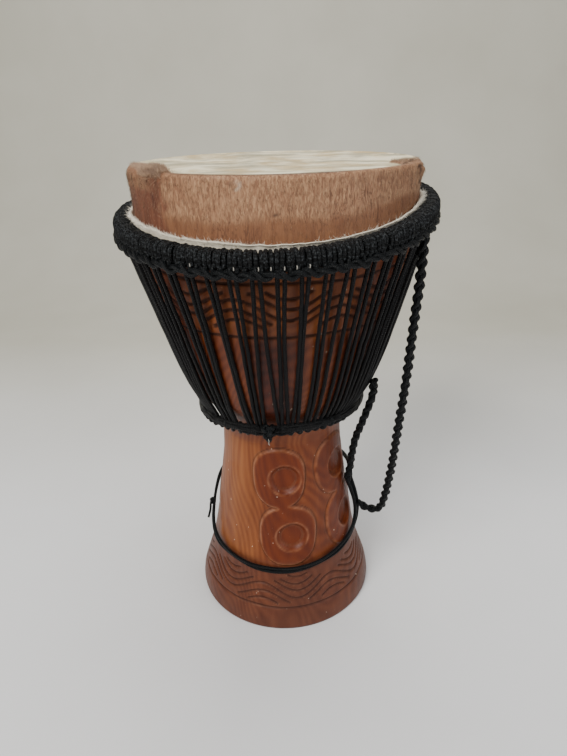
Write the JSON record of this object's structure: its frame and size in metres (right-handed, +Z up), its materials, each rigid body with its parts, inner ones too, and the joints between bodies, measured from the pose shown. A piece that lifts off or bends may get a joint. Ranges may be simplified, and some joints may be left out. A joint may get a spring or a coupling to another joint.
{
  "type": "goblet drum",
  "caption": "Rope-tuned goblet drum: carved wooden goblet with a hair-on goatskin head, wrapped crown ring, lower ring, foot cord and a hanging braided strap",
  "frame": {"origin": "the middle of the foot's underside, on the floor that the drum stands on", "axes": "+Z up through the drum's middle to its head; -Y the front that the picture shows; +X to the right of that front, the side where the strap hangs"},
  "size_m": [0.3736, 0.3736, 0.6],
  "materials": {
    "carved_wood": "oiled and hand-worn, satin, with carved grooves darker than the surface",
    "goatskin": "dry rawhide, bare and pale on top, short brown hair on the collar, rough cut edge",
    "black_rope": "tight braided synthetic cord, black, slightly shiny on the raised strands"
  },
  "bodies": {
    "root": {"drum_shell": "carved_wood", "goatskin_head": "goatskin", "crown_ring": "black_rope", "lower_ring": "black_rope", "tension_rope": "black_rope", "foot_tie": "black_rope", "foot_knot": "black_rope", "front_knot": "black_rope", "side_knot": "black_rope", "strap_long": "black_rope", "strap_short": "black_rope"}
  },
  "joints": []
}
